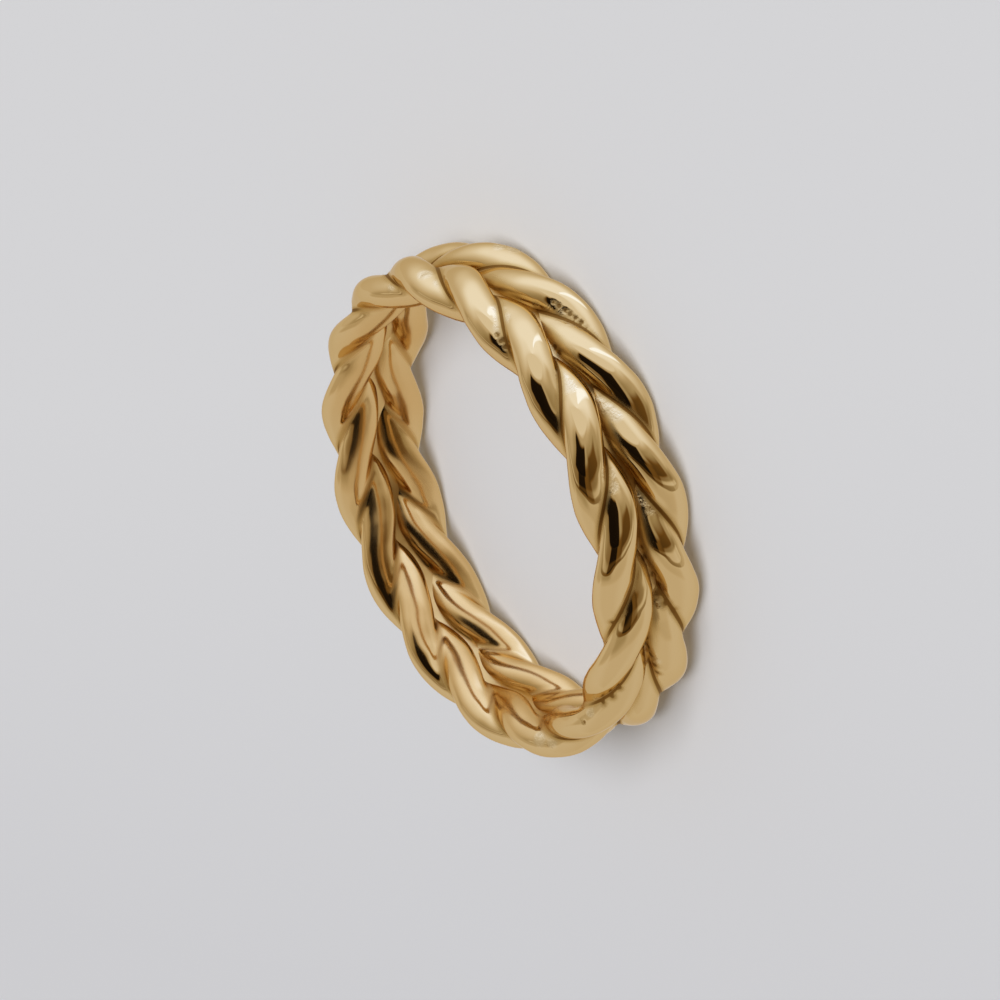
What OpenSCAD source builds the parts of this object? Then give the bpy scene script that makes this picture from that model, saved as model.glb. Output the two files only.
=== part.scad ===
// Braided band ring, lying on its side with the finger's way along Z.
// Two strands run side by side round the finger. Each is a pair of wires twisted together and
// fused, and the two are twisted in opposite ways, so that every lobe of one strand lies against
// a waist of the other and the pair reads as a braid.

/* [Ring] */
// Diameter of the finger hole, between the lobes that reach furthest in
finger_hole_d = 16.8; // [13:0.1:23]
// Width of the band along the finger
band_width = 4.64; // [3:0.02:7]
// Thickness of the band, from the finger hole to the outside
band_thickness = 2; // [1.2:0.02:3]

/* [Twisted strands] */
// Half turns of each strand round the ring, which are the lobes seen on its face
half_turns = 15; // [9:1:20]
// How far the two wires of a strand stand apart: 0 is one wire, 1 is two that only touch
wire_spread = 0.55; // [0.3:0.05:0.8]
// Clear seam left where a lobe of one strand comes closest to the other strand
seam_gap = 0.12; // [0.12:0.01:0.4]

/* [Smoothness] */
// Sections along each lobe
sections_per_lobe = 13; // [8:1:14]
// Points round each wire's part of a section
points_per_wire = 10; // [6:1:10]

/* [Hidden] */

// The band's middle circle, and the height at which the middle of the seam lies
middle_r = (finger_hole_d + band_thickness) / 2;
seam_z = band_width / 2;

// Half of a wire's thickness, from the finger hole outward
wire_half_thick = band_thickness / 2 / (1 + wire_spread);

// Half of a wire's width along the finger. Across the seam, two lobes come closest when both
// strands stand at 45 degrees. The wires' centres are then two half widths and the seam gap
// apart, which makes the half width the smaller root of a quadratic.
reach = 1 + wire_spread * (1 + 1 / sqrt(2));
root_a = reach ^ 2 - 1 + wire_spread ^ 2 / 2;
root_b = band_width * reach + seam_gap;
root_c = (band_width ^ 2 - seam_gap ^ 2) / 4;
wire_half_width = (root_b - sqrt(root_b ^ 2 - 4 * root_a * root_c)) / (2 * root_a);

// Height of each strand's middle line above or below the seam
strand_offset = seam_z - wire_half_width * (1 + wire_spread);

// A section's outline in units of one wire's half thickness and half width: two circles of
// radius 1 that cross at a crease, each drawn from one crease to the other
crease_angle = acos(-wire_spread);
points_round = 2 * points_per_wire;
section_count = sections_per_lobe * half_turns;

// Point i of one section's outline, across the finger and along it
function wire_arc(i) =
    let (a = crease_angle * (2 * i / points_per_wire - 1))
    [wire_spread + cos(a), sin(a)];
function outline_point(i) =
    i < points_per_wire ? wire_arc(i) : -wire_arc(i - points_per_wire);

// The same point after the section has turned about the strand's middle line
function turned(p, turn) =
    [p[0] * cos(turn) - p[1] * sin(turn), p[0] * sin(turn) + p[1] * cos(turn)];

// One point of a strand. side is 1 for the upper strand and -1 for the lower one, which is the
// upper one's mirror image about the seam, set a quarter turn on.
function strand_point(section, i, side) =
    let (
        around = 360 * section / section_count,
        turn = around * half_turns / 2 + (side > 0 ? 0 : 90),
        p = turned(outline_point(i), turn),
        r = middle_r - p[0] * wire_half_thick,
        z = seam_z + side * (strand_offset + p[1] * wire_half_width)
    )
    [r * cos(around), r * sin(around), z];

// Number of a point in the strand's list. After an odd number of half turns the last section
// meets the first one half a turn round.
function point_number(section, i) =
    let (wrap = section == section_count && half_turns % 2 == 1 ? points_per_wire : 0)
    (section % section_count) * points_round + (i + wrap) % points_round;

// The two triangles that join neighbouring points of neighbouring sections
function patch(section, i) =
    let (
        a = point_number(section, i),
        b = point_number(section, i + 1),
        c = point_number(section + 1, i + 1),
        d = point_number(section + 1, i)
    )
    [[a, d, b], [b, d, c]];

// A closed strand: two twisted and fused wires all round the finger
module twisted_strand(side) {
    points = [
        for (section = [0 : section_count - 1], i = [0 : points_round - 1])
            strand_point(section, i, side)
    ];
    faces = [
        for (section = [0 : section_count - 1], i = [0 : points_round - 1])
            for (triangle = patch(section, i))
                side > 0 ? triangle : [triangle[2], triangle[1], triangle[0]]
    ];
    polyhedron(points = points, faces = faces, convexity = 10);
}

module upper_strand() {
    color("goldenrod") twisted_strand(1);
}

module lower_strand() {
    color("gold") twisted_strand(-1);
}

upper_strand();
lower_strand();
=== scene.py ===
"""Braided band ring in polished gold, built round its solids as a Blender add-on that runs as a script."""
import math

import bmesh
import bpy
from bpy.props import FloatProperty, FloatVectorProperty, IntProperty, PointerProperty
from mathutils import Matrix, Vector


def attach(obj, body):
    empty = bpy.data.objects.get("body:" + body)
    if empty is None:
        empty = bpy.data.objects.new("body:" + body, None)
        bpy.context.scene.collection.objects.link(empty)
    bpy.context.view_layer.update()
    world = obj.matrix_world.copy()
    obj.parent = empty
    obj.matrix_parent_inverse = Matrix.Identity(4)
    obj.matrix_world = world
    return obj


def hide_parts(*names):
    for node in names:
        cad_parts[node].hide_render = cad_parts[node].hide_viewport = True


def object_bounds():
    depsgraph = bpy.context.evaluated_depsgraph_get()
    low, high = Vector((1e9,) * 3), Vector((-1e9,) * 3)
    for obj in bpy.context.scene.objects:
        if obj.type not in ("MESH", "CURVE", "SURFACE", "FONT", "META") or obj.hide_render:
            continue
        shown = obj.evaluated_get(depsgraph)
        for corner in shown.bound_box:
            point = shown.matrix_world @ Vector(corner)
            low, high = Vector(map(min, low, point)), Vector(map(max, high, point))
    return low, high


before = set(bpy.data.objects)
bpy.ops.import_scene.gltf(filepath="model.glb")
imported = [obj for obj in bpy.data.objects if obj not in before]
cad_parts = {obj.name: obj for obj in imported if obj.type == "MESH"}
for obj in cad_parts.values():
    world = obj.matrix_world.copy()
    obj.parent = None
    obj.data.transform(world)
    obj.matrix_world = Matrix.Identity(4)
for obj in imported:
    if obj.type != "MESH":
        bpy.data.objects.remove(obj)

bl_info = {
    "name": "Braided band ring",
    "version": (1, 0, 0),
    "blender": (4, 5, 0),
    "location": "View3D > Sidebar > Braided Ring",
    "description": "Models a braided band ring from two twisted strands and the metal that joins them",
    "category": "Object",
}

CAD_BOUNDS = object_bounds()
MM = 0.001


def corners(bounds):
    """The lowest and highest corner as plain lists."""
    return [[float(value) for value in corner] for corner in bounds]


def linear(hex_colour):
    """An sRGB hex colour as linear red, green and blue."""
    parts = [int(hex_colour[i:i + 2], 16) / 255 for i in (1, 3, 5)]
    return tuple(p / 12.92 if p <= 0.04045 else ((p + 0.055) / 1.055) ** 2.4 for p in parts)


LOW, HIGH = corners(CAD_BOUNDS)
OUTER_RADIUS = max(HIGH[0], -LOW[0], HIGH[1], -LOW[1])
BAND_WIDTH = HIGH[2] - LOW[2]


class BraidedRingSizes(bpy.types.PropertyGroup):
    """Sizes of the ring, in metres, and the colours of its gold."""

    outer_radius: FloatProperty(
        name="Outer radius", description="From the finger's axis to the highest lobes",
        default=OUTER_RADIUS, min=0.005, unit="LENGTH", precision=5)
    band_width: FloatProperty(
        name="Band width", description="Width of the band along the finger",
        default=BAND_WIDTH, min=0.001, unit="LENGTH", precision=5)
    band_thickness: FloatProperty(
        name="Band thickness", description="From the finger hole to the outside",
        default=2.0 * MM, min=0.0005, unit="LENGTH", precision=5)
    wire_spread: FloatProperty(
        name="Wire spread", description="0 is one round wire, 1 is two that only touch",
        default=0.55, min=0.1, max=0.95)
    half_turns: IntProperty(
        name="Half turns", description="Lobes seen along each strand", default=15, min=3)
    seam_gap: FloatProperty(
        name="Seam gap", description="Closest the two strands come",
        default=0.12 * MM, min=0.0, unit="LENGTH", precision=5)
    seam_height: FloatProperty(
        name="Seam metal height", description="How far the metal in the seam reaches into both strands",
        default=1.6 * MM, min=0.0001, unit="LENGTH", precision=5)
    seam_outer_depth: FloatProperty(
        name="Seam depth outside", description="From the highest lobes down to the metal in the seam",
        default=0.88 * MM, min=0.0, unit="LENGTH", precision=5)
    seam_inner_depth: FloatProperty(
        name="Seam depth inside", description="From the finger hole up to the metal in the seam",
        default=0.74 * MM, min=0.0, unit="LENGTH", precision=5)
    open_place: FloatProperty(
        name="Open lens place", description="Where round the finger the seam is open",
        default=math.radians(184), subtype="ANGLE")
    open_length: FloatProperty(
        name="Open lens length", description="How much of the way round the seam is open",
        default=math.radians(7), min=0.01, subtype="ANGLE")
    gold_outside: FloatVectorProperty(
        name="Gold outside", description="Colour of the buffed plating on the outside",
        default=linear("#E8CD98"), min=0.0, max=1.0, subtype="COLOR")
    # Gold inside is deeper than gold outside: painted shade for the inner face, which lies in shade and
    # mirrors the gold across from it
    gold_inside: FloatVectorProperty(
        name="Gold inside", description="Colour of the tumbled plating on the finger's side",
        default=linear("#E6C387"), min=0.0, max=1.0, subtype="COLOR")


def sizes():
    return bpy.context.scene.braided_ring


def middle_radius():
    """Radius of the circle that the middle of the band follows."""
    return sizes().outer_radius - sizes().band_thickness / 2


def wire_half_thickness():
    return sizes().band_thickness / 2 / (1 + sizes().wire_spread)


def wire_half_width():
    """Half a wire's width along the finger, so that both strands and the gap fill the band."""
    spread, gap, width = sizes().wire_spread, sizes().seam_gap, sizes().band_width
    reach = 1 + spread * (1 + 1 / math.sqrt(2))
    a = reach ** 2 - 1 + spread ** 2 / 2
    b = width * reach + gap
    c = (width ** 2 - gap ** 2) / 4
    return (b - math.sqrt(b * b - 4 * a * c)) / (2 * a)


def strand_offset():
    """Height of a strand's middle line above the seam."""
    return sizes().band_width / 2 - wire_half_width() * (1 + sizes().wire_spread)


def deselect_all():
    if bpy.context.object and bpy.context.object.mode != "OBJECT":
        bpy.ops.object.mode_set(mode="OBJECT")
    bpy.ops.object.select_all(action="DESELECT")


def make_only_active(piece):
    deselect_all()
    piece.select_set(True)
    bpy.context.view_layer.objects.active = piece


def apply_modifier(piece, kind, **settings):
    """Adds a modifier, gives it its settings and applies it."""
    make_only_active(piece)
    modifier = piece.modifiers.new(kind.title(), kind)
    for key, value in settings.items():
        setattr(modifier, key, value)
    bpy.ops.object.modifier_apply(modifier=modifier.name)


def name_piece(name):
    piece = bpy.context.object
    piece.name = name
    piece.data.name = name
    return piece


POINTS_PER_WIRE = 40
SECTIONS_PER_LOBE = 60
# Points closer than these shares of the step between sections are joined, first along the strand
# and then where it closes
JOIN_ALONG = 0.1
JOIN_CLOSING = 0.25
# Where round the finger the middle of the straight strand comes to lie, in degrees
BEND_MIDDLE = 270


def wire_pair_outline(index):
    """A point on the outline of two fused round wires of radius 1, one beside the other."""
    spread = sizes().wire_spread
    crease = math.acos(-spread)
    turn = crease * (2 * (index % POINTS_PER_WIRE) / POINTS_PER_WIRE - 1)
    side = 1 if index < POINTS_PER_WIRE else -1
    return side * (spread + math.cos(turn)), side * math.sin(turn)


def middle_turn(side):
    """How far the wires have twisted at the strand's middle. Half a turn on, they look the same."""
    set_on = 0 if side > 0 else 90
    return math.radians((BEND_MIDDLE * sizes().half_turns / 2 + set_on) % 180)


def model_strand(name, side):
    """Draws a straight pair of wires, twists it, and bends it round the finger."""
    length = 2 * math.pi * middle_radius()
    count = SECTIONS_PER_LOBE * sizes().half_turns
    step = length / count
    deselect_all()
    bpy.ops.mesh.primitive_circle_add(vertices=2 * POINTS_PER_WIRE, radius=1, fill_type="NOTHING",
                                      location=(-length / 2, 0, 0))
    piece = name_piece(name)
    bpy.ops.object.transform_apply(location=True)
    bpy.ops.object.mode_set(mode="EDIT")
    mesh = bmesh.from_edit_mesh(piece.data)
    mesh.verts.ensure_lookup_table()
    for index, vert in enumerate(mesh.verts):
        inward, along = wire_pair_outline(index)
        vert.co = (-length / 2, inward, along)
    bmesh.update_edit_mesh(piece.data)
    bpy.ops.mesh.select_all(action="SELECT")
    bpy.ops.mesh.extrude_region_move(TRANSFORM_OT_translate={"value": (step, 0, 0)})
    bpy.ops.object.mode_set(mode="OBJECT")
    apply_modifier(piece, "ARRAY", count=count, use_relative_offset=False, use_constant_offset=True,
                   constant_offset_displace=(step, 0, 0), use_merge_vertices=True,
                   merge_threshold=step * JOIN_ALONG)
    apply_modifier(piece, "SIMPLE_DEFORM", deform_method="TWIST", deform_axis="X",
                   angle=math.pi * sizes().half_turns)
    turn = Matrix.Rotation(middle_turn(side), 4, "X")
    shape = Matrix.Diagonal((1, wire_half_thickness(), side * wire_half_width(), 1))
    lift = Matrix.Translation((0, 0, side * strand_offset()))
    piece.data.transform(lift @ shape @ turn)
    apply_modifier(piece, "SIMPLE_DEFORM", deform_method="BEND", deform_axis="Z", angle=2 * math.pi)
    piece.data.transform(Matrix.Translation((0, -middle_radius(), sizes().band_width / 2)))
    close_and_face_outward(piece, step * JOIN_CLOSING)
    return piece


def close_and_face_outward(piece, distance):
    make_only_active(piece)
    bpy.ops.object.mode_set(mode="EDIT")
    bpy.ops.mesh.select_all(action="SELECT")
    bpy.ops.mesh.remove_doubles(threshold=distance)
    bpy.ops.mesh.normals_make_consistent(inside=False)
    bpy.ops.object.mode_set(mode="OBJECT")
    bpy.ops.object.shade_smooth()


# Casting pits: degrees round the finger, distance from its axis, height and radius in mm
PITS = (
    (319.5, 10.15, 1.51, 0.15),
    (318.2, 10.13, 1.42, 0.20),
    (316.5, 10.10, 1.32, 0.17),
    (315.3, 10.08, 1.23, 0.21),
    (313.9, 10.04, 1.14, 0.18),
    (312.5, 9.99, 1.04, 0.20),
    (311.0, 9.90, 0.93, 0.15),
    (318.3, 9.70, 4.14, 0.17),
    (316.8, 9.62, 4.14, 0.22),
    (315.2, 9.53, 4.16, 0.16),
    (211.8, 9.72, 4.43, 0.13),
)
# Places where solder was left unpolished, given in the same way
RAW_SPOTS = (
    (2.8, 9.48, 4.18, 0.30),
    (347.9, 10.02, 4.03, 0.40),
    (343.1, 9.83, 3.91, 0.35),
    (344.0, 10.34, 0.91, 0.40),
    (341.4, 10.22, 0.54, 0.45),
    (322.4, 9.72, 1.90, 0.30),
    (319.4, 9.80, 1.72, 0.32),
    (316.4, 9.90, 1.53, 0.33),
    (313.2, 9.96, 1.36, 0.33),
    (310.7, 9.97, 1.11, 0.31),
    (308.4, 9.88, 0.84, 0.27),
    (323.7, 9.99, 3.49, 0.35),
    (320.7, 9.95, 3.67, 0.42),
    (319.5, 9.83, 3.98, 0.32),
    (302.1, 9.95, 3.19, 0.40),
    (299.3, 10.02, 3.24, 0.48),
    (294.1, 9.67, 1.99, 0.40),
    (291.7, 9.82, 1.97, 0.46),
    (289.3, 9.95, 1.89, 0.36),
    (278.5, 9.98, 3.20, 0.46),
    (275.5, 10.03, 3.25, 0.36),
    (272.6, 9.55, 1.96, 0.36),
    (270.3, 9.69, 1.90, 0.44),
    (267.8, 9.83, 1.80, 0.36),
    (247.4, 9.68, 1.85, 0.38),
    (244.9, 9.80, 1.76, 0.38),
    (229.6, 9.95, 2.07, 0.35),
    (219.5, 9.64, 4.05, 0.34),
    (214.8, 9.61, 4.25, 0.30),
    (191.0, 9.58, 4.22, 0.36),
    (187.1, 9.35, 4.30, 0.45),
)
# Places in the seam and the creases where the gold has tarnished, given in the same way
TARNISH = (
    (310.3, 9.60, 2.37, 0.40),
    (308.5, 9.60, 2.37, 0.40),
    (262.2, 9.60, 2.55, 0.45),
    (259.5, 9.60, 2.48, 0.50),
    (257.0, 9.60, 2.40, 0.55),
    (254.5, 9.60, 2.30, 0.55),
    (252.0, 9.60, 2.12, 0.55),
    (249.7, 9.72, 1.98, 0.50),
    (247.2, 9.65, 1.92, 0.50),
    (244.6, 9.82, 1.70, 0.42),
    (242.4, 9.92, 1.40, 0.36),
    (236.0, 9.60, 2.34, 0.45),
    (233.2, 9.64, 2.25, 0.50),
    (230.5, 9.75, 2.15, 0.50),
    (227.5, 9.88, 1.97, 0.45),
    (224.6, 9.94, 1.76, 0.38),
    (247.2, 9.88, 3.79, 0.28),
    (244.6, 9.64, 4.09, 0.28),
    (224.9, 9.98, 3.58, 0.28),
    (222.3, 9.92, 3.80, 0.34),
    (219.6, 9.77, 4.00, 0.32),
)
# Share of its radius within which a spot is at its full strength
RAW_CORE = 0.45
TARNISH_CORE = 0.2
# Where a finish fades out from a crease, from its full strength to none, in wire radii: first the dull
# roughness and painted shade of the crease, then its softening
SHADED_DULL_CREASE = (0.08, 0.42)
SOFT_CREASE = (0.3, 0.6)
# The same from the middle of the seam for its dullness and painted shade, and how far under the lobes,
# where shade falls, these set in
SHADED_DULL_SEAM = (0.102 * MM, 0.34 * MM)
SUNK_UNDER_LOBES = (0.2 * MM, 0.6 * MM)
# Creases are soft as cast inside the ring and cut crisp outside, and a little duller and darker with
# painted shade outside
CRISPER_OUTWARD = (-0.3 * MM, 0.3 * MM)
SOFT_OUTSIDE = 0.3
SHADIER_DULLER_OUTWARD = (-0.2 * MM, 0.2 * MM)
SHADED_DULL_INSIDE = 0.9
# How dull and how dark the seam, a pit and tarnish are, 1 being the bottom of a crease, and the same for
# the seam metal; in the seam the darkening is painted shade
SEAM_SHADE_AND_DULLNESS = 0.85
PIT_DULLNESS = 0.95
TARNISH_DULLNESS = 0.97
SEAM_METAL_SHADE_AND_DULLNESS = 0.55
# How raw tarnished gold is, how much less raw a crease is, and how steeply a pit turns rough
TARNISH_RAWNESS = 0.5
CREASE_CLEANED = 0.7
PIT_EDGE = 2.5
# Weights up to this one stay out of a piece's vertex groups
LEAST_WEIGHT = 0.01


def smooth_step(value, low, high):
    part = min(max((value - low) / (high - low), 0), 1)
    return part * part * (3 - 2 * part)


def places(spots):
    """Middle and radius of each spot, in metres."""
    found = []
    for degrees, out, height, radius in spots:
        turn = Matrix.Rotation(math.radians(degrees), 3, "Z")
        found.append((turn @ Vector((out * MM, 0, height * MM)), radius * MM))
    return found


def near_spots(place, spots, core=0.0):
    """1 in the core of a spot, which is a share of its radius, and 0 away from them all."""
    return max(1 - smooth_step((place - middle).length, core * radius, radius)
               for middle, radius in spots)


def mark_points(piece, name, values):
    """Stores a value at each point, for the material as an attribute and for modifiers as a group."""
    piece.data.attributes.new(name, "FLOAT", "POINT").data.foreach_set("value", values)
    group = piece.vertex_groups.new(name=name)
    for index, value in enumerate(values):
        if value > LEAST_WEIGHT:
            group.add([index], value, "REPLACE")


def mark_finish(piece, side):
    """Marks creases to soften, valleys that are rough and darkened with painted shade, raw and tarnished
    spots, and pits.
    """
    crease = math.sqrt(1 - sizes().wire_spread ** 2)
    middle, seam = middle_radius(), sizes().band_width / 2
    half_thickness, half_turns = sizes().band_thickness / 2, sizes().half_turns
    wire_thickness, wire_width, offset = wire_half_thickness(), wire_half_width(), strand_offset()
    pits, raw_spots, tarnish = places(PITS), places(RAW_SPOTS), places(TARNISH)
    soft, valley, raw, pitted = [], [], [], []
    for vert in piece.data.vertices:
        above_middle = math.hypot(vert.co.x, vert.co.y) - middle
        from_seam = abs(vert.co.z - seam)
        # The point's place in its section, turned back so that the two wires lie across
        turn = math.atan2(vert.co.y, vert.co.x) * half_turns / 2 + (0 if side > 0 else math.pi / 2)
        inward, along = -above_middle / wire_thickness, (from_seam - offset) / wire_width
        across = inward * math.cos(turn) + along * math.sin(turn)
        along = along * math.cos(turn) - inward * math.sin(turn)
        from_crease = math.hypot(across, abs(along) - crease)
        # Painted shade and dullness in the crease
        in_crease = 1 - smooth_step(from_crease, *SHADED_DULL_CREASE)
        softness = 1 - (1 - SOFT_OUTSIDE) * smooth_step(above_middle, *CRISPER_OUTWARD)
        shade_and_dullness = SHADED_DULL_INSIDE + (1 - SHADED_DULL_INSIDE) * smooth_step(above_middle, *SHADIER_DULLER_OUTWARD)
        # The seam gets painted shade and dullness where it lies under the lobes
        in_seam = 1 - smooth_step(from_seam, *SHADED_DULL_SEAM)
        sunk = smooth_step(half_thickness - abs(above_middle), *SUNK_UNDER_LOBES)
        in_pit = near_spots(vert.co, pits)
        rough_pit = min(1.0, PIT_EDGE * in_pit)
        tarnished = near_spots(vert.co, tarnish, TARNISH_CORE)
        raw_solder = near_spots(vert.co, raw_spots, RAW_CORE) * (1 - CREASE_CLEANED * in_crease)
        soft.append(softness * (1 - smooth_step(from_crease, *SOFT_CREASE)))
        # The valley mark: dullness with painted shade in creases and the seam, and the darker colour of
        # pits and tarnish
        valley.append(max(shade_and_dullness * in_crease, SEAM_SHADE_AND_DULLNESS * shade_and_dullness * in_seam * sunk,
                          PIT_DULLNESS * rough_pit, TARNISH_DULLNESS * tarnished))
        raw.append(max(raw_solder, rough_pit, TARNISH_RAWNESS * tarnished))
        pitted.append(in_pit)
    mark_points(piece, "soft", soft)
    mark_points(piece, "valley", valley)
    mark_points(piece, "raw", raw)
    mark_points(piece, "pitted", pitted)


# Unevenness of cast metal: how wide its bumps are, and how far it moves the surface
HAND_FINISH = (1.6 * MM, 0.08 * MM)
VALLEY_GRAIN = (0.5 * MM, 0.02 * MM)
RAW_GRAIN = (0.24 * MM, 0.06 * MM)
PIT_GRAIN = (0.2 * MM, 0.045 * MM)
SEAM_WAVES = (0.9 * MM, 0.05 * MM)
PIT_DEPTH = 0.05 * MM
SOFTENING_ROUNDS = 22
SOFTENING_PER_ROUND = 0.5


def roughen(piece, name, unevenness, group="", depth=2):
    """Moves a piece's surface in and out by a noise, where its points are in the group."""
    width, strength = unevenness
    texture = bpy.data.textures.new(name, "CLOUDS")
    texture.noise_scale = width
    texture.noise_depth = depth
    apply_modifier(piece, "DISPLACE", texture=texture, strength=strength, mid_level=0.5,
                   texture_coords="LOCAL", vertex_group=group)


def roughen_cast_surface(piece):
    """Gives the lobes the slight unevenness of cast metal, the raw places their grain, and the pits."""
    apply_modifier(piece, "SMOOTH", factor=SOFTENING_PER_ROUND, iterations=SOFTENING_ROUNDS,
                   vertex_group="soft")
    roughen(piece, "hand_finish", HAND_FINISH, depth=1)
    roughen(piece, "valley_grain", VALLEY_GRAIN, "valley")
    roughen(piece, "raw_grain", RAW_GRAIN, "raw")
    apply_modifier(piece, "DISPLACE", strength=-PIT_DEPTH, mid_level=0.0, vertex_group="pitted")
    roughen(piece, "pit_grain", PIT_GRAIN, "pitted")


def add_node(tree, kind, inputs=None, **settings):
    """Adds a node with its settings, and links each input to a socket or sets it to a value."""
    node = tree.nodes.new(kind)
    for key, value in settings.items():
        setattr(node, key, value)
    for key, source in (inputs or {}).items():
        if isinstance(source, bpy.types.NodeSocket):
            tree.links.new(source, node.inputs[key])
        else:
            node.inputs[key].default_value = source
    return node


def opaque(colour):
    """A linear colour, or an sRGB hex one, as the four values that a socket takes."""
    return (*(linear(colour) if isinstance(colour, str) else colour), 1)


# Roughness of buffed gold, of a crease and of the tumbled inside, and what raw metal adds to it
BUFFED_ROUGHNESS = 0.03
CREASE_ROUGHNESS = 0.48
TUMBLED_ROUGHNESS = 0.26
RAW_ROUGHNESS = 0.16
# How dull a place is before it darkens further, to the painted shade at the bottom of creases and the dark
# of pits and tarnish
DARKENS_FROM = 0.88
# Casting grain, too fine for the mesh: how wide its bumps are and how high
CASTING_GRAIN = 0.08 * MM
GRAIN_HEIGHT = 0.02 * MM


def polished_gold():
    """Yellow-gold plating: it mirrors the room sharply where it was buffed outside, softly where it
    was only tumbled inside, and is matt and grainy where it was left as cast. Its creases, its seam
    and the finger's side are darkened with painted shade."""
    material = bpy.data.materials.new("polished_gold_plating")
    material.use_nodes = True
    tree = material.node_tree
    shader = tree.nodes["Principled BSDF"]
    shader.inputs["Metallic"].default_value = 1.0
    shader.inputs["Specular Tint"].default_value = opaque("#F0E4CC")
    place = add_node(tree, "ShaderNodeTexCoord").outputs["Object"]
    valley = add_node(tree, "ShaderNodeAttribute", attribute_name="valley").outputs["Fac"]
    raw = add_node(tree, "ShaderNodeAttribute", attribute_name="raw").outputs["Fac"]

    def blend(share, first, second):
        return add_node(tree, "ShaderNodeMix", {"Factor": share, "A": first, "B": second},
                        data_type="RGBA").outputs["Result"]

    level = add_node(tree, "ShaderNodeVectorMath", {0: place, 1: (1, 1, 0)}, operation="MULTIPLY")
    from_axis = add_node(tree, "ShaderNodeVectorMath", {0: level.outputs[0]}, operation="LENGTH")
    inside = add_node(tree, "ShaderNodeMapRange", {
        "Value": from_axis.outputs["Value"], "From Min": middle_radius() - sizes().band_thickness / 2,
        "From Max": middle_radius(), "To Min": 1.0, "To Max": 0.0}).outputs["Result"]
    # Darkest at the bottom of creases, in pits and in tarnish; in the creases this is painted shade
    darkest = add_node(tree, "ShaderNodeMapRange", {
        "Value": valley, "From Min": DARKENS_FROM, "From Max": 1.0},
        interpolation_type="SMOOTHSTEP").outputs["Result"]
    # The finger's side takes a deeper gold, which is painted shade for the inner face
    gold = blend(inside, opaque(sizes().gold_outside), opaque(sizes().gold_inside))
    raw_gold = blend(raw, gold, opaque("#EDD8AC"))
    # Colour of creases, the seam, pits and tarnish, deeper on the finger's side; in the creases and the
    # seam it is painted shade
    shade_and_tarnish_gold = blend(inside, opaque("#CFAD6A"), opaque("#D2A260"))
    colour = blend(darkest, blend(valley, raw_gold, shade_and_tarnish_gold), opaque("#8C642D"))
    rough = add_node(tree, "ShaderNodeMapRange", {
        "Value": valley, "To Min": BUFFED_ROUGHNESS, "To Max": CREASE_ROUGHNESS}).outputs["Result"]
    rougher = add_node(tree, "ShaderNodeMath", {0: raw, 1: RAW_ROUGHNESS, 2: rough},
                       operation="MULTIPLY_ADD").outputs[0]
    tumbled = add_node(tree, "ShaderNodeMath", {0: inside, 1: TUMBLED_ROUGHNESS},
                       operation="MULTIPLY").outputs[0]
    roughness = add_node(tree, "ShaderNodeMath", {0: rougher, 1: tumbled}, operation="MAXIMUM").outputs[0]
    grain = add_node(tree, "ShaderNodeTexNoise", {
        "Vector": place, "Scale": 1 / CASTING_GRAIN, "Detail": 2.0})
    bumps = add_node(tree, "ShaderNodeBump", {
        "Height": grain.outputs["Fac"], "Strength": raw, "Distance": GRAIN_HEIGHT}).outputs["Normal"]
    tree.links.new(colour, shader.inputs["Base Color"])
    tree.links.new(roughness, shader.inputs["Roughness"])
    tree.links.new(bumps, shader.inputs["Normal"])
    return material


class RING_OT_strands(bpy.types.Operator):
    """Model the upper and the lower twisted strand"""

    bl_idname = "braided_ring.strands"
    bl_label = "Twisted strands"

    def execute(self, context):
        gold = polished_gold()
        for name, side, node in (("upper_twist", 1, "upper_strand"), ("lower_twist", -1, "lower_strand")):
            piece = model_strand(name, side)
            mark_finish(piece, side)
            roughen_cast_surface(piece)
            piece.data.materials.append(gold)
            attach(piece, "root")
            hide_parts(node)
        return {"FINISHED"}


# Sections of the seam metal round the ring, and cuts in each side of a section
SEAM_STEPS = 1100
SEAM_CUTS = 3
# Corners of the section, outward and along the finger, as shares of half its thickness and height
SEAM_SECTION = ((-1, -0.7), (-0.8, -1), (0.8, -1), (1, -0.7), (1, 0.7), (0.8, 1), (-0.8, 1), (-1, 0.7))


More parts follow.
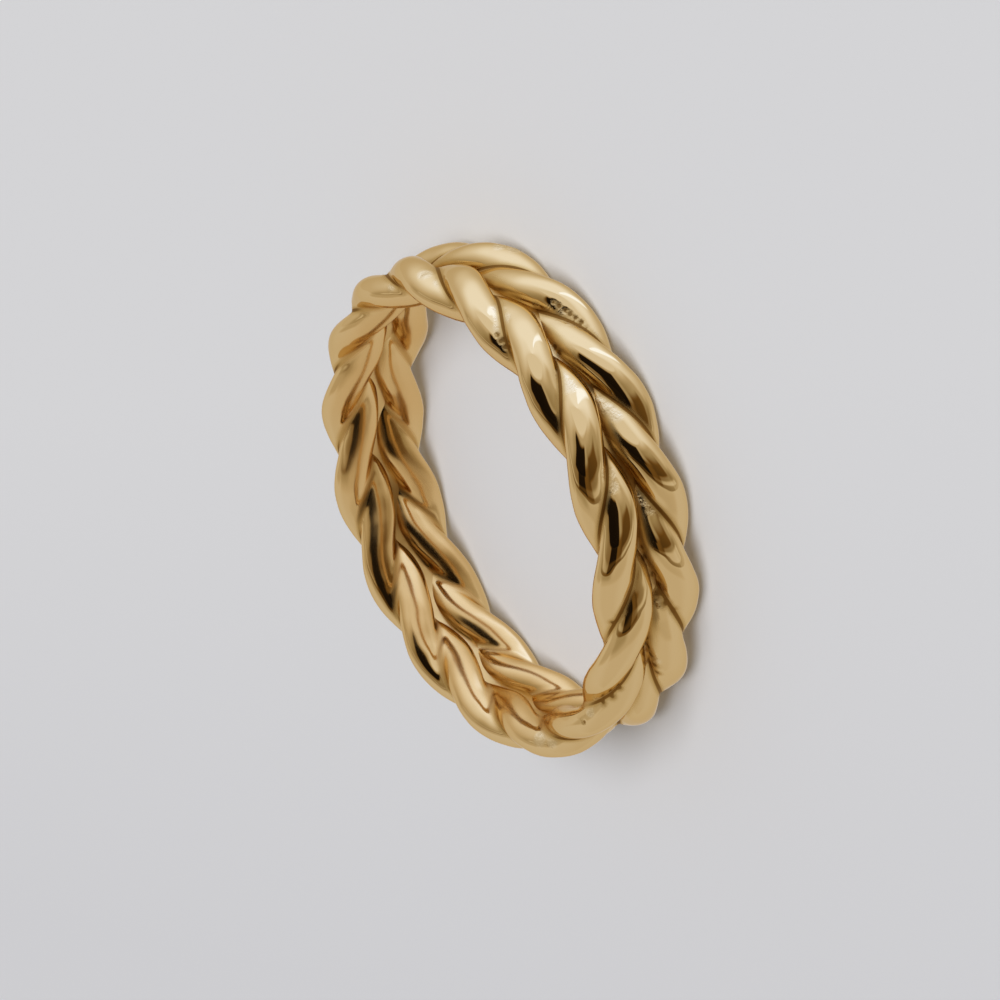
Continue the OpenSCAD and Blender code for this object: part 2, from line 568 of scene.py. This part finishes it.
class RING_OT_seam(bpy.types.Operator):
    """Model the cast metal that closes the seam, apart from one open lens"""

    bl_idname = "braided_ring.seam"
    bl_label = "Metal in the seam"

    def execute(self, context):
        ring = sizes()
        outer = ring.outer_radius - ring.seam_outer_depth
        inner = ring.outer_radius - ring.band_thickness + ring.seam_inner_depth
        seam = ring.band_width / 2
        start = ring.open_place + ring.open_length / 2
        deselect_all()
        bpy.ops.mesh.primitive_circle_add(vertices=len(SEAM_SECTION), radius=1, fill_type="NOTHING")
        piece = name_piece("seam_metal")
        bpy.ops.object.mode_set(mode="EDIT")
        mesh = bmesh.from_edit_mesh(piece.data)
        mesh.verts.ensure_lookup_table()
        for vert, (out, up) in zip(mesh.verts, SEAM_SECTION):
            radius = (outer + inner) / 2 + out * (outer - inner) / 2
            vert.co = (radius * math.cos(start), radius * math.sin(start),
                       seam + up * ring.seam_height / 2)
        bmesh.update_edit_mesh(piece.data)
        bpy.ops.mesh.select_all(action="SELECT")
        bpy.ops.mesh.subdivide(number_cuts=SEAM_CUTS)
        bpy.ops.mesh.spin(steps=SEAM_STEPS, angle=2 * math.pi - ring.open_length, center=(0, 0, 0),
                          axis=(0, 0, 1))
        bpy.ops.mesh.select_all(action="SELECT")
        bpy.ops.mesh.fill_holes(sides=0)
        bpy.ops.mesh.normals_make_consistent(inside=False)
        bpy.ops.object.mode_set(mode="OBJECT")
        bpy.ops.object.shade_smooth()
        tarnish = places(TARNISH)
        tarnished = [near_spots(vert.co, tarnish, TARNISH_CORE) for vert in piece.data.vertices]
        # The seam metal lies deep between the strands: its valley mark darkens it with painted shade and
        # dulls it, and tarnish darkens it more
        mark_points(piece, "valley", [max(SEAM_METAL_SHADE_AND_DULLNESS, TARNISH_DULLNESS * share)
                                      for share in tarnished])
        mark_points(piece, "raw", [TARNISH_RAWNESS * share for share in tarnished])
        roughen(piece, "seam_cast", SEAM_WAVES, depth=1)
        roughen(piece, "seam_grain", RAW_GRAIN, "raw")
        piece.data.materials.append(bpy.data.materials["polished_gold_plating"])
        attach(piece, "root")
        return {"FINISHED"}


# The camera, as fitted to the ring's outline in the photograph
CAMERA_PLACE = (25.194 * MM, -125.572 * MM, 71.897 * MM)
CAMERA_RIGHT = Vector((-0.27239, -0.50689, -0.81784))
CAMERA_UP = Vector((0.94657, 0.01132, -0.32229))
FOCAL_PIXELS = 3675.8
FRAME_PIXELS = 1000
SENSOR_WIDTH = 36.0
# The ring's way up when it stands as in the photograph. The room that it mirrors is turned with it.
STOOD_UP = Vector((0.881, -0.472, 0.0)).normalized()

FLOOR_SIZE = 4.0
# Tone of the paper beyond the ring and the darker tone in front of it, which is painted shade for light
# falling off towards the front, and where it goes from one to the other
NEAR_PAPER_SHADED = "#D8D8DB"
FAR_PAPER = "#DFDFE1"
PAPER_SHADE_FADE = (-26 * MM, 4 * MM)
PAPER_ROUGHNESS = 0.9
# Level way that the sun leans to, on the camera's side, so that the shadow falls behind the ring and
# leaves the finger hole light, and how far it leans
LIGHT_SIDE = Vector((0.52, -0.85, 0.0)).normalized()
LIGHT_LEAN = 0.6
SUN_STRENGTH = 2.2
SUN_WIDTH = math.radians(44)
# Plain light on the floor, with a trace more blue than a hex colour can hold
PLAIN_LIGHT = (1, 1, 1.01)
PLAIN_STRENGTH = 0.3

# The room that the gold mirrors. Angles are in degrees, either round the ring, with 0 behind it and
# 180 at the camera, or above level. Brightness is 1 high on the wall behind the ring.
# Fades: the first and the last angle, and the brightness at each. Those named ROUND go by the angle
# away from the camera, and the other two by the angle above level.
WALL_ROUND = (20, 130, 0.48, 1.0)
WALL_UP = (5, 55, 0.58, 1.0)
CEILING = (50, 60, 0, 0.8)
TABLE_ROUND = (30, 75, 0.93, 1.0)
TABLE_TONE = 0.63
# Where the table ends and the wall starts
TABLE_LINE = (-6.5, -5.5)
# Patches: middle and half width round the ring, lowest and highest angle above level, how much the
# patch darkens or adds, and how wide its soft edge is
DARK_PARTS = (
    (196, 33, 18, 51, 0.985, 3),
    (189, 20, -3, 20, 0.97, 3),
    (160, 15, -4, 26, 0.62, 4),
    (125, 22, 10, 33, 0.68, 5),
    (-93, 20, -20, 8, 0.24, 8),
    (85, 15, -2, 14, 0.22, 5),
    (118, 34, 3, 48, 0.35, 8),
    (-148, 34, -14, 46, 0.35, 12),
    (180, 75, -6, -2, 0.3, 1.5),
    (175, 60, -24, -6, 0.14, 9),
)
WINDOW = (42, 5, 26, 78, 0.4, 3)
# The lit edge of the table, and its fade, by which it is brighter to the sides of the camera
TABLE_EDGE = (180, 95, -1.2, 3.2, 1, 1.5)
TABLE_EDGE_ROUND = (20, 50, 0.05, 0.24)
# Colour of the room at each brightness, as a share of the brightest
ROOM_TONES = (
    (0, "#060505"),
    (0.12, "#4C381B"),
    (0.33, "#706755"),
    (0.55, "#8A8379"),
    (0.8, "#9E9EA3"),
    (1.0, "#AEB5CA"),
    (1.3, "#BDCFFF"),
)
BRIGHTEST = 2.4


class RING_OT_stage(bpy.types.Operator):
    """Lay the floor, set the light and place the camera"""

    bl_idname = "braided_ring.stage"
    bl_label = "Stage, light and camera"

    def execute(self, context):
        lay_floor()
        place_camera(context)
        light_floor(context)
        light_gold(context)
        context.scene.view_settings.view_transform = "Standard"
        return {"FINISHED"}


def lay_floor():
    """Matt white paper, which shows the ring's soft shadow and no gloss, and isn't mirrored in it. It
    darkens towards the front with painted shade.
    """
    deselect_all()
    bpy.ops.mesh.primitive_plane_add(size=FLOOR_SIZE, location=(0, 0, 0))
    floor = name_piece("studio_floor")
    paper = bpy.data.materials.new("matt_white_paper")
    paper.use_nodes = True
    tree = paper.node_tree
    shader = tree.nodes["Principled BSDF"]
    beyond = (*CAMERA_UP.xy.normalized(), 0)
    place = add_node(tree, "ShaderNodeTexCoord").outputs["Object"]
    away = add_node(tree, "ShaderNodeVectorMath", {0: place, 1: beyond}, operation="DOT_PRODUCT")
    share = add_node(tree, "ShaderNodeMapRange", {
        "Value": away.outputs["Value"], "From Min": PAPER_SHADE_FADE[0], "From Max": PAPER_SHADE_FADE[1]})
    # Painted shade: the paper darkens towards the front
    falloff_shade_tone = add_node(tree, "ShaderNodeMix", {
        "Factor": share.outputs["Result"], "A": opaque(NEAR_PAPER_SHADED), "B": opaque(FAR_PAPER)},
        data_type="RGBA")
    tree.links.new(falloff_shade_tone.outputs["Result"], shader.inputs["Base Color"])
    shader.inputs["Roughness"].default_value = PAPER_ROUGHNESS
    floor.data.materials.append(paper)
    floor.visible_glossy = False


def place_camera(context):
    data = bpy.data.cameras.new("camera")
    data.sensor_width = SENSOR_WIDTH
    data.sensor_fit = "HORIZONTAL"
    data.lens = FOCAL_PIXELS / FRAME_PIXELS * SENSOR_WIDTH
    data.clip_start = 1 * MM
    camera = bpy.data.objects.new("camera", data)
    turn = Matrix((CAMERA_RIGHT, CAMERA_UP, CAMERA_RIGHT.cross(CAMERA_UP))).transposed().to_4x4()
    camera.matrix_world = Matrix.Translation(CAMERA_PLACE) @ turn
    context.scene.collection.objects.link(camera)
    context.scene.camera = camera


def light_floor(context):
    """A wide soft sun, which the gold doesn't mirror."""
    sun = bpy.data.lights.new("soft_overhead", "SUN")
    sun.energy = SUN_STRENGTH
    sun.angle = SUN_WIDTH
    lamp = bpy.data.objects.new("soft_overhead", sun)
    from_way = (Vector((0, 0, 1)) + LIGHT_LEAN * LIGHT_SIDE).normalized()
    lamp.matrix_world = from_way.to_track_quat("Z", "Y").to_matrix().to_4x4()
    lamp.visible_glossy = False
    context.scene.collection.objects.link(lamp)


def light_gold(context):
    """The room as a brightness for each direction, which only the gold mirrors. Other rays meet a
    plain light."""
    world = bpy.data.worlds.new("studio")
    context.scene.world = world
    world.use_nodes = True
    tree = world.node_tree
    tree.nodes.clear()
    way = add_node(tree, "ShaderNodeTexCoord").outputs["Generated"]

    def along(direction):
        node = add_node(tree, "ShaderNodeVectorMath", {0: way, 1: direction}, operation="DOT_PRODUCT")
        return node.outputs["Value"]

    def maths(operation, *values):
        return add_node(tree, "ShaderNodeMath", dict(enumerate(values)), operation=operation).outputs[0]

    def fade(value, low, high, at_low=0.0, at_high=1.0):
        """Goes softly from one value to another while an angle goes from low to high."""
        return add_node(tree, "ShaderNodeMapRange", {
            "Value": value, "From Min": low, "From Max": high, "To Min": at_low, "To Max": at_high},
            interpolation_type="SMOOTHSTEP").outputs["Result"]

    height = maths("MULTIPLY", maths("ARCSINE", along(STOOD_UP)), 180 / math.pi)
    # Angle round the ring, positive to the right of the picture
    behind = STOOD_UP.cross(CAMERA_RIGHT).normalized()
    side = maths("MULTIPLY", maths("ARCTAN2", along(CAMERA_RIGHT), along(behind)), 180 / math.pi)
    off_camera = maths("SUBTRACT", 180, maths("ABSOLUTE", side))

    def patch(middle, half_width, low, high, amount, edge):
        """The amount inside a stretch of the room and 0 outside it."""
        turned = maths("ABSOLUTE", maths("WRAP", maths("SUBTRACT", side, middle), 180, -180))
        across = fade(turned, half_width - edge, half_width + edge, 1, 0)
        upward = maths("MULTIPLY", fade(height, low - edge / 2, low + edge / 2),
                       fade(height, high - edge, high + edge, 1, 0))
        return maths("MULTIPLY", maths("MULTIPLY", across, upward), amount)

    wall = maths("MULTIPLY", fade(off_camera, *WALL_ROUND), fade(height, *WALL_UP))
    room = maths("MAXIMUM", wall, fade(height, *CEILING))
    table = maths("MULTIPLY", TABLE_TONE, fade(off_camera, *TABLE_ROUND))
    above = fade(height, *TABLE_LINE)
    bright = maths("ADD", maths("MULTIPLY", room, above),
                   maths("MULTIPLY", table, maths("SUBTRACT", 1, above)))
    for dark_part in DARK_PARTS:
        bright = maths("MULTIPLY", bright, maths("SUBTRACT", 1, patch(*dark_part)))
    bright = maths("ADD", bright, patch(*WINDOW))
    table_edge = maths("MULTIPLY", patch(*TABLE_EDGE), fade(off_camera, *TABLE_EDGE_ROUND))
    bright = maths("ADD", bright, table_edge)
    tones = add_node(tree, "ShaderNodeValToRGB", {0: maths("DIVIDE", bright, BRIGHTEST)})
    stops = tones.color_ramp.elements
    while len(stops) < len(ROOM_TONES):
        stops.new(1.0)
    for stop, (brightness, hex_colour) in zip(stops, ROOM_TONES):
        stop.position = brightness / BRIGHTEST
        stop.color = opaque(hex_colour)
    rays = add_node(tree, "ShaderNodeLightPath").outputs["Is Glossy Ray"]
    mirrored = add_node(tree, "ShaderNodeBackground", {0: tones.outputs[0], "Strength": BRIGHTEST})
    plain = add_node(tree, "ShaderNodeBackground", {0: opaque(PLAIN_LIGHT), "Strength": PLAIN_STRENGTH})
    seen = add_node(tree, "ShaderNodeMixShader", {0: rays, 1: plain.outputs[0], 2: mirrored.outputs[0]})
    add_node(tree, "ShaderNodeOutputWorld", {"Surface": seen.outputs[0]})


class RING_PT_panel(bpy.types.Panel):
    """Lists the ring's sizes and colours and the steps that make it"""

    bl_idname = "RING_PT_panel"
    bl_label = "Braided band ring"
    bl_space_type = "VIEW_3D"
    bl_region_type = "UI"
    bl_category = "Braided Ring"

    def draw(self, context):
        layout = self.layout
        for name in BraidedRingSizes.__annotations__:
            layout.prop(context.scene.braided_ring, name)
        for operator in (RING_OT_strands, RING_OT_seam, RING_OT_stage):
            layout.operator(operator.bl_idname)


CLASSES = (BraidedRingSizes, RING_OT_strands, RING_OT_seam, RING_OT_stage, RING_PT_panel)


def register():
    for cls in CLASSES:
        bpy.utils.register_class(cls)
    bpy.types.Scene.braided_ring = PointerProperty(type=BraidedRingSizes)


def unregister():
    del bpy.types.Scene.braided_ring
    for cls in reversed(CLASSES):
        bpy.utils.unregister_class(cls)


def main():
    register()
    bpy.ops.braided_ring.strands()
    bpy.ops.braided_ring.seam()
    bpy.ops.braided_ring.stage()


if __name__ == "__main__":
    main()
